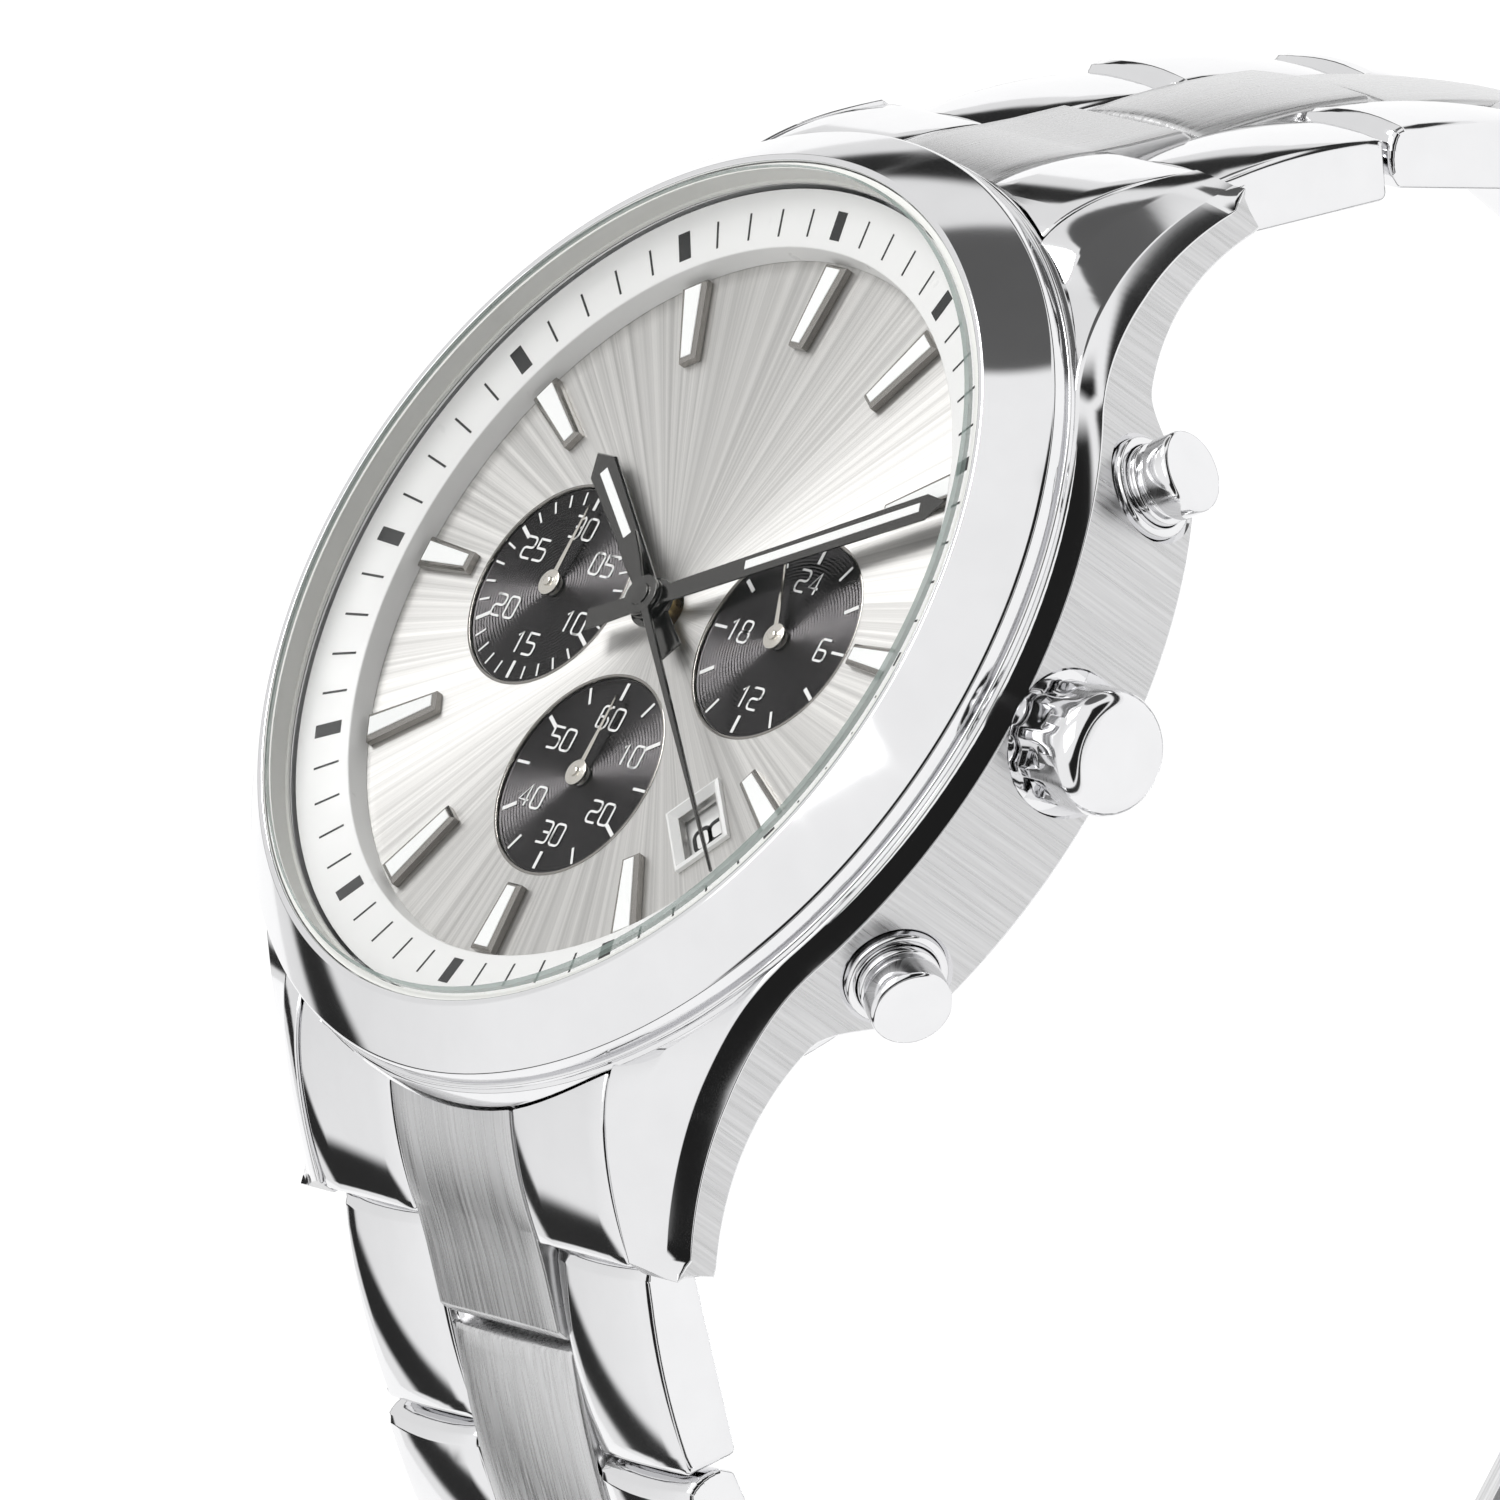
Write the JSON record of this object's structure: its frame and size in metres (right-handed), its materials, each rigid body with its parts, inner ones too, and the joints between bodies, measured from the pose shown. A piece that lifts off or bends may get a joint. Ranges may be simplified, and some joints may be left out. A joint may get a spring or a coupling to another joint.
{
  "type": "chronograph wristwatch",
  "caption": "Steel chronograph wristwatch with applied markers, three small dials, date window, crown, pushers, and a closed three-row link bracelet with a folding clasp.",
  "frame": {"origin": "centre of the case back's outer flat face", "axes": "+Z out through the crystal, +Y to 12 o'clock, +X to 3 o'clock and the crown"},
  "size_m": [0.0459, 0.077, 0.0685],
  "materials": {
    "steel_polished": "mirror polished stainless steel",
    "steel_brushed": "fine straight brushed stainless steel",
    "crystal_glass": "flat mineral crystal with a greenish polished edge",
    "gasket_plastic": "ivory nylon gasket",
    "track_white": "white lacquer with black ticks",
    "dial_silver": "silver sunburst",
    "subdial_grey": "dark grey with fine concentric grooves",
    "marker_steel": "polished applied batons with a white lume strip",
    "movement_plastic": "white moulded spacer",
    "movement_brass": "machined brass",
    "battery_steel": "silver oxide cell can",
    "board_green": "green circuit board",
    "coil_copper": "enamelled copper winding",
    "seal_black": "black nitrile rubber",
    "hand_steel": "dark polished steel with white lume",
    "small_hand_steel": "polished steel",
    "date_white": "white printed disc"
  },
  "bodies": {
    "case": {"case_middle": "steel_polished", "bezel": "steel_polished", "crystal": "crystal_glass", "crystal_gasket": "gasket_plastic", "minute_track_ring": "track_white", "dial": "dial_silver", "subdial_plates": "subdial_grey", "hour_markers": "marker_steel", "date_frame": "track_white", "movement_ring": "movement_plastic", "main_plate": "movement_brass", "train_bridge": "battery_steel", "battery": "battery_steel", "circuit_board": "board_green", "drive_coils": "coil_copper", "movement_screws": "battery_steel", "case_back": "steel_polished", "case_back_gasket": "seal_black", "crown_tube": "steel_polished", "pusher_tubes": "steel_polished", "end_link_12": "steel_polished", "end_link_6": "steel_polished", "lug_spring_bars": "steel_brushed"},
    "hour": {"hour_wheel": "movement_brass", "hour_hand": "hand_steel"},
    "minute": {"cannon_pinion": "movement_brass", "minute_hand": "hand_steel"},
    "motion_wheel": {"minute_wheel": "movement_brass"},
    "chrono_seconds": {"chrono_seconds_hand": "hand_steel"},
    "small_seconds": {"small_seconds_hand": "small_hand_steel"},
    "minute_counter": {"minute_counter_hand": "small_hand_steel"},
    "hour24": {"hour24_hand": "small_hand_steel"},
    "date": {"date_disc": "date_white"},
    "crown_slide": {"crown_seal": "seal_black"},
    "crown_turn": {"crown": "steel_polished", "stem": "steel_brushed"},
    "pusher_upper": {"pusher_2": "steel_polished"},
    "pusher_lower": {"pusher_4": "steel_polished"},
    "link_12_1": {"link_12_1": "steel_brushed"},
    "link_12_2": {"link_12_2": "steel_brushed"},
    "link_12_3": {"link_12_3": "steel_brushed"},
    "link_12_4": {"link_12_4": "steel_brushed"},
    "link_12_5": {"link_12_5": "steel_brushed"},
    "link_12_6": {"link_12_6": "steel_brushed"},
    "link_12_7": {"link_12_7": "steel_brushed"},
    "link_6_1": {"link_6_1": "steel_brushed"},
    "link_6_2": {"link_6_2": "steel_brushed"},
    "link_6_3": {"link_6_3": "steel_brushed"},
    "link_6_4": {"link_6_4": "steel_brushed"},
    "link_6_5": {"link_6_5": "steel_brushed"},
    "link_6_6": {"link_6_6": "steel_brushed"},
    "link_6_7": {"link_6_7": "steel_brushed"},
    "clasp_b": {"clasp_blade_b": "steel_brushed", "clasp_pins_a": "steel_brushed"},
    "clasp_a": {"clasp_blade_a": "steel_brushed", "clasp_pins_b": "steel_brushed"},
    "clasp_c": {"clasp_cover": "steel_brushed"}
  },
  "joints": [
    {"name": "minute_turn", "type": "hinge", "parent": "case", "child": "minute", "pos_m": [0, 0, 0.008], "axis": [0, 0, -1], "continuous": true},
    {"name": "hour_turn", "type": "hinge", "parent": "case", "child": "hour", "pos_m": [0, 0, 0.008], "axis": [0, 0, -1], "continuous": true},
    {"name": "motion_wheel_turn", "type": "hinge", "parent": "case", "child": "motion_wheel", "pos_m": [0.0015, 0.0026, 0.0065], "axis": [0, 0, -1], "continuous": true},
    {"name": "hour24_turn", "type": "hinge", "parent": "case", "child": "hour24", "pos_m": [0.00725, 0, 0.008], "axis": [0, 0, -1], "continuous": true},
    {"name": "small_seconds_turn", "type": "hinge", "parent": "case", "child": "small_seconds", "pos_m": [0, -0.00725, 0.008], "axis": [0, 0, -1], "continuous": true},
    {"name": "date_turn", "type": "hinge", "parent": "case", "child": "date", "pos_m": [0, 0, 0.0072], "axis": [0, 0, -1], "continuous": true},
    {"name": "chrono_seconds_turn", "type": "hinge", "parent": "case", "child": "chrono_seconds", "pos_m": [0, 0, 0.008], "axis": [0, 0, -1], "continuous": true},
    {"name": "minute_counter_turn", "type": "hinge", "parent": "case", "child": "minute_counter", "pos_m": [-0.00725, 0, 0.008], "axis": [0, 0, -1], "continuous": true},
    {"name": "crown_pull", "type": "slide", "parent": "case", "child": "crown_slide", "axis": [1, 0, 0], "range_m": [0, 0.0012]},
    {"name": "crown_turn", "type": "hinge", "parent": "crown_slide", "child": "crown_turn", "pos_m": [0.022, 0, 0.0036], "axis": [1, 0, 0], "continuous": true},
    {"name": "pusher_2_press", "type": "slide", "parent": "case", "child": "pusher_upper", "axis": [-0.8616, -0.5075, 0], "range_m": [0, 0.0007], "stiffness_N_per_m": 2000, "springref_m": -0.0005},
    {"name": "pusher_4_press", "type": "slide", "parent": "case", "child": "pusher_lower", "axis": [-0.8616, 0.5075, 0], "range_m": [0, 0.0007], "stiffness_N_per_m": 2000, "springref_m": -0.0005},
    {"name": "link_12_1_pivot", "type": "hinge", "parent": "case", "child": "link_12_1", "pos_m": [0, 0.0247, -0.0007], "axis": [1, 0, 0], "range_deg": [0, 50]},
    {"name": "link_12_2_pivot", "type": "hinge", "parent": "link_12_1", "child": "link_12_2", "pos_m": [0, 0.03049, -0.00759], "axis": [1, 0, 0], "range_deg": [0, 20]},
    {"name": "link_12_3_pivot", "type": "hinge", "parent": "link_12_2", "child": "link_12_3", "pos_m": [0, 0.03471, -0.01554], "axis": [1, 0, 0], "range_deg": [0, 25]},
    {"name": "link_12_4_pivot", "type": "hinge", "parent": "link_12_3", "child": "link_12_4", "pos_m": [0, 0.03666, -0.02433], "axis": [1, 0, 0], "range_deg": [0, 25]},
    {"name": "link_12_5_pivot", "type": "hinge", "parent": "link_12_4", "child": "link_12_5", "pos_m": [0, 0.03619, -0.03332], "axis": [1, 0, 0], "range_deg": [0, 25]},
    {"name": "link_12_6_pivot", "type": "hinge", "parent": "link_12_5", "child": "link_12_6", "pos_m": [0, 0.03333, -0.04185], "axis": [1, 0, 0], "range_deg": [0, 25]},
    {"name": "link_12_7_pivot", "type": "hinge", "parent": "link_12_6", "child": "link_12_7", "pos_m": [0, 0.0283, -0.04931], "axis": [1, 0, 0], "range_deg": [0, 25]},
    {"name": "link_6_1_pivot", "type": "hinge", "parent": "case", "child": "link_6_1", "pos_m": [0, -0.0247, -0.0007], "axis": [-1, 0, 0], "range_deg": [0, 50]},
    {"name": "link_6_2_pivot", "type": "hinge", "parent": "link_6_1", "child": "link_6_2", "pos_m": [0, -0.03049, -0.00759], "axis": [-1, 0, 0], "range_deg": [0, 20]},
    {"name": "link_6_3_pivot", "type": "hinge", "parent": "link_6_2", "child": "link_6_3", "pos_m": [0, -0.03471, -0.01554], "axis": [-1, 0, 0], "range_deg": [0, 25]},
    {"name": "link_6_4_pivot", "type": "hinge", "parent": "link_6_3", "child": "link_6_4", "pos_m": [0, -0.03666, -0.02433], "axis": [-1, 0, 0], "range_deg": [0, 25]},
    {"name": "link_6_5_pivot", "type": "hinge", "parent": "link_6_4", "child": "link_6_5", "pos_m": [0, -0.03619, -0.03332], "axis": [-1, 0, 0], "range_deg": [0, 25]},
    {"name": "link_6_6_pivot", "type": "hinge", "parent": "link_6_5", "child": "link_6_6", "pos_m": [0, -0.03333, -0.04185], "axis": [-1, 0, 0], "range_deg": [0, 25]},
    {"name": "link_6_7_pivot", "type": "hinge", "parent": "link_6_6", "child": "link_6_7", "pos_m": [0, -0.0283, -0.04931], "axis": [-1, 0, 0], "range_deg": [0, 25]},
    {"name": "clasp_link_pivot", "type": "hinge", "parent": "link_6_7", "child": "clasp_b", "pos_m": [0, -0.02146, -0.05516], "axis": [-1, 0, 0], "range_deg": [0, 30]},
    {"name": "clasp_fold", "type": "hinge", "parent": "clasp_b", "child": "clasp_a", "pos_m": [0, 0.01706, -0.05466], "axis": [1, 0, 0], "range_deg": [0, 115]},
    {"name": "clasp_cover_fold", "type": "hinge", "parent": "clasp_a", "child": "clasp_c", "pos_m": [0, -0.01706, -0.05581], "axis": [1, 0, 0], "range_deg": [-115, 0]}
  ],
  "couplings": [
    {"joint": "hour_turn", "follows": "minute_turn", "ratio": 0.083333},
    {"joint": "motion_wheel_turn", "follows": "minute_turn", "ratio": -0.33333},
    {"joint": "hour24_turn", "follows": "minute_turn", "ratio": 0.041667},
    {"joint": "small_seconds_turn", "follows": "minute_turn", "ratio": 60},
    {"joint": "date_turn", "follows": "minute_turn", "ratio": 0.0013441},
    {"joint": "minute_counter_turn", "follows": "chrono_seconds_turn", "ratio": 0.033333},
    {"joint": "clasp_cover_fold", "follows": "clasp_fold", "ratio": -1}
  ]
}
